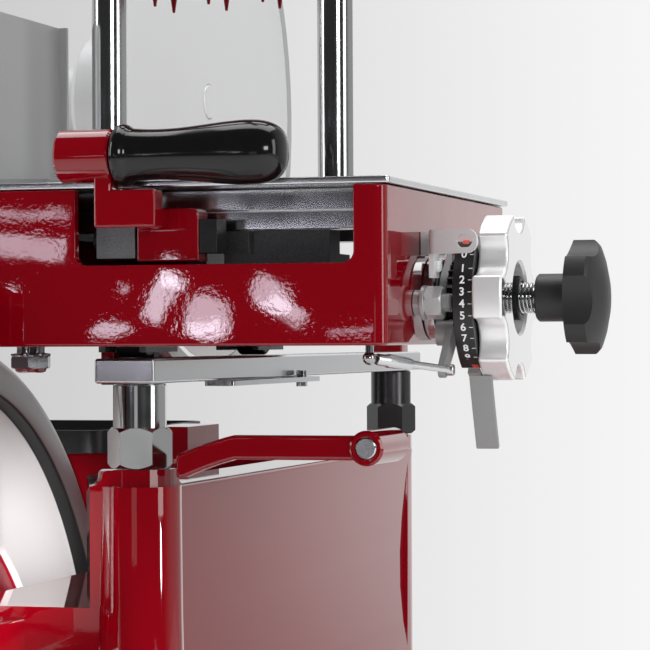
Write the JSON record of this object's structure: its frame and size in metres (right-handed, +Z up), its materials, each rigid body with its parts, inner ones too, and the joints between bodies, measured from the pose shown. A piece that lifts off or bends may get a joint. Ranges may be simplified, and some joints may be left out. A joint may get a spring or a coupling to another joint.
{
  "type": "hand crank meat slicer",
  "caption": "Hand-cranked flywheel meat slicer: red enamelled carriage on a polished rail, ratchet thickness dial, feed screw, hand wheel and knob, round knife, guard, clamp and tray.",
  "frame": {"origin": "centre of the bounding box at the level the rubber feet stand on", "axes": "+X away from the knife along the feed screw, +Y along the carriage's travel away from the operator's near end, +Z up"},
  "size_m": [0.4887, 0.6889, 0.799],
  "materials": {
    "red_enamel": "gloss enamel",
    "polished_steel": "polished",
    "chrome_plate": "bright chrome",
    "brushed_steel": "machined",
    "stainless_sheet": "satin",
    "cast_iron": "oiled casting",
    "black_steel": "blackened",
    "black_plastic": "matt",
    "black_enamel": "satin black with white digits",
    "rubber": "matt",
    "bronze": "machined",
    "grindstone": "rough"
  },
  "bodies": {
    "machine_base": {"base_casting": "red_enamel", "foot_near_knife_side": "rubber", "foot_near_dial_side": "rubber", "foot_far_knife_side": "rubber", "foot_far_dial_side": "rubber", "rail": "polished_steel", "near_post": "chrome_plate", "far_post": "chrome_plate", "catch_plate": "polished_steel", "feed_stop_arm": "red_enamel", "feed_stop_screw": "brushed_steel", "guide_rod": "polished_steel", "chain": "black_steel", "knife_carrier": "red_enamel", "guard_ring": "polished_steel", "slice_tray": "stainless_sheet"},
    "flywheel_body": {"main_shaft": "brushed_steel", "flywheel": "polished_steel", "crank_pin": "brushed_steel"},
    "crank_handle": {"crank_grip": "black_plastic"},
    "lay_body": {"lay_shaft": "brushed_steel"},
    "upright_body": {"upright_shaft": "brushed_steel"},
    "knife_body": {"knife_shaft": "brushed_steel", "knife": "polished_steel"},
    "carriage": {"carriage_box": "red_enamel", "roller_bracket": "cast_iron", "slide_frame": "polished_steel", "slide_rest": "cast_iron", "stop_stud": "brushed_steel", "bearing_flange": "polished_steel", "index_bracket": "polished_steel"},
    "near_roller_body": {"near_roller": "black_steel"},
    "far_roller_body": {"far_roller": "black_steel"},
    "rocker": {"rocker_arm": "cast_iron"},
    "drive_rod": {"connecting_rod": "cast_iron"},
    "feed_screw_body": {"feed_screw": "brushed_steel", "ratchet_wheel": "black_steel", "hand_wheel": "polished_steel", "knob_spring": "chrome_plate"},
    "star_knob_body": {"star_knob": "black_plastic"},
    "selector": {"number_drum": "black_enamel", "thickness_lever": "polished_steel"},
    "feed_rocker_body": {"feed_rocker": "brushed_steel"},
    "pawl_body": {"pawl": "brushed_steel"},
    "feed_lever_body": {"feed_lever": "brushed_steel"},
    "link_body": {"link_rod": "brushed_steel"},
    "table": {"meat_table": "stainless_sheet", "table_bracket": "brushed_steel", "lever_bolt": "black_steel", "near_column": "chrome_plate", "far_column": "chrome_plate", "column_bridge": "red_enamel"},
    "release": {"release_lever": "red_enamel", "lever_grip": "black_plastic"},
    "nut_body": {"half_nut": "bronze"},
    "clamp": {"clamp_plate": "red_enamel"},
    "spindle_body": {"clamp_spindle": "black_plastic"},
    "fence_body": {"meat_fence": "stainless_sheet"},
    "sharpener": {"sharpener_head": "polished_steel"},
    "stone_body": {"grinding_stone": "grindstone"}
  },
  "joints": [
    {"name": "flywheel_spin", "type": "hinge", "parent": "machine_base", "child": "flywheel_body", "pos_m": [-0.0509, -0.1295, 0.233], "axis": [1, 0, 0], "continuous": true},
    {"name": "grip_spin", "type": "hinge", "parent": "flywheel_body", "child": "crank_handle", "pos_m": [-0.1359, -0.2895, 0.233], "axis": [1, 0, 0], "continuous": true},
    {"name": "lay_spin", "type": "hinge", "parent": "machine_base", "child": "lay_body", "pos_m": [-0.0509, 0.1825, 0.295], "axis": [1, 0, 0], "continuous": true},
    {"name": "upright_spin", "type": "hinge", "parent": "machine_base", "child": "upright_body", "pos_m": [-0.0879, 0.1825, 0.445], "axis": [0, 0, 1], "continuous": true},
    {"name": "knife_spin", "type": "hinge", "parent": "machine_base", "child": "knife_body", "pos_m": [-0.0509, 0.1825, 0.585], "axis": [1, 0, 0], "continuous": true},
    {"name": "carriage_slide", "type": "slide", "parent": "machine_base", "child": "carriage", "axis": [0, 1, 0], "range_m": [0, 0.26]},
    {"name": "near_roller_spin", "type": "hinge", "parent": "carriage", "child": "near_roller_body", "pos_m": [0.0401, -0.1735, 0.4509], "axis": [1, 0, 0], "range_deg": [-1360, 10]},
    {"name": "far_roller_spin", "type": "hinge", "parent": "carriage", "child": "far_roller_body", "pos_m": [0.0401, -0.0015, 0.4509], "axis": [1, 0, 0], "range_deg": [-1360, 10]},
    {"name": "rocker_swing", "type": "hinge", "parent": "machine_base", "child": "rocker", "pos_m": [0.0091, 0.0475, 0.041], "axis": [1, 0, 0], "range_deg": [-37, 0.5]},
    {"name": "drive_rod_pivot", "type": "hinge", "parent": "rocker", "child": "drive_rod", "pos_m": [-0.0009, 0.01602, 0.13592], "axis": [1, 0, 0], "range_deg": [-0.5, 37]},
    {"name": "screw_turn", "type": "hinge", "parent": "carriage", "child": "feed_screw_body", "pos_m": [0.1641, -0.1275, 0.4655], "axis": [1, 0, 0], "continuous": true},
    {"name": "star_knob_turn", "type": "hinge", "parent": "feed_screw_body", "child": "star_knob_body", "pos_m": [0.2241, -0.1275, 0.4655], "axis": [1, 0, 0], "continuous": true},
    {"name": "selector_turn", "type": "hinge", "parent": "carriage", "child": "selector", "pos_m": [0.1861, -0.1275, 0.4655], "axis": [-1, 0, 0], "range_deg": [0, 75]},
    {"name": "feed_rocker_swing", "type": "hinge", "parent": "carriage", "child": "feed_rocker_body", "pos_m": [0.1721, -0.1275, 0.4655], "axis": [1, 0, 0], "range_deg": [0, 45], "stiffness_Nm_per_rad": 0.05, "springref_deg": -17.19},
    {"name": "pawl_swing", "type": "hinge", "parent": "feed_rocker_body", "child": "pawl_body", "pos_m": [0.1771, -0.11623, 0.48669], "axis": [1, 0, 0], "range_deg": [-12, 0]},
    {"name": "feed_lever_swing", "type": "hinge", "parent": "carriage", "child": "feed_lever_body", "pos_m": [0.0607, -0.1875, 0.45], "axis": [0, 0, 1], "range_deg": [-0.5, 21.2]},
    {"name": "link_pivot", "type": "hinge", "parent": "feed_rocker_body", "child": "link_body", "pos_m": [0.1815, -0.16248, 0.43411], "axis": [1, 0, 0], "range_deg": [-72.5, 0.5]},
    {"name": "table_slide", "type": "slide", "parent": "carriage", "child": "table", "axis": [1, 0, 0], "range_m": [0, 0.07]},
    {"name": "release_swing", "type": "hinge", "parent": "table", "child": "release", "pos_m": [0.0581, -0.1945, 0.491], "axis": [1, 0, 0], "range_deg": [0, 20], "stiffness_Nm_per_rad": 1, "springref_deg": -17.19},
    {"name": "half_nut_lift", "type": "slide", "parent": "table", "child": "nut_body", "axis": [0, 0, 1], "range_m": [0, 0.0041]},
    {"name": "clamp_drop", "type": "slide", "parent": "table", "child": "clamp", "axis": [0, 0, -1], "range_m": [0, 0.066]},
    {"name": "spindle_turn", "type": "hinge", "parent": "clamp", "child": "spindle_body", "pos_m": [0.07345, -0.1505, 0.645], "axis": [0, 0, 1], "continuous": true},
    {"name": "fence_slide", "type": "slide", "parent": "table", "child": "fence_body", "axis": [0, 1, 0], "range_m": [-0.008, 0.1]},
    {"name": "sharpener_swivel", "type": "hinge", "parent": "machine_base", "child": "sharpener", "pos_m": [-0.0619, 0.2165, 0.765], "axis": [0, 0, 1], "range_deg": [0, 180]},
    {"name": "stone_spin", "type": "hinge", "parent": "sharpener", "child": "stone_body", "pos_m": [-0.0489, 0.2165, 0.783], "axis": [1, 0, 0], "continuous": true}
  ],
  "couplings": [
    {"joint": "lay_spin", "follows": "flywheel_spin", "ratio": 1.6667},
    {"joint": "upright_spin", "follows": "flywheel_spin", "ratio": -1.6667},
    {"joint": "knife_spin", "follows": "flywheel_spin", "ratio": -1.6667},
    {"joint": "near_roller_spin", "follows": "carriage_slide", "rad_per_m": -90.909},
    {"joint": "far_roller_spin", "follows": "carriage_slide", "rad_per_m": -90.909},
    {"joint": "rocker_swing", "follows": "carriage_slide", "rad_per_m": -2.4632},
    {"joint": "drive_rod_pivot", "follows": "carriage_slide", "rad_per_m": 2.4632},
    {"joint": "feed_lever_swing", "follows": "feed_rocker_swing", "ratio": 0.46},
    {"joint": "link_pivot", "follows": "feed_rocker_swing", "ratio": -1.6},
    {"joint": "half_nut_lift", "follows": "release_swing", "m_per_rad": 0.011459}
  ]
}
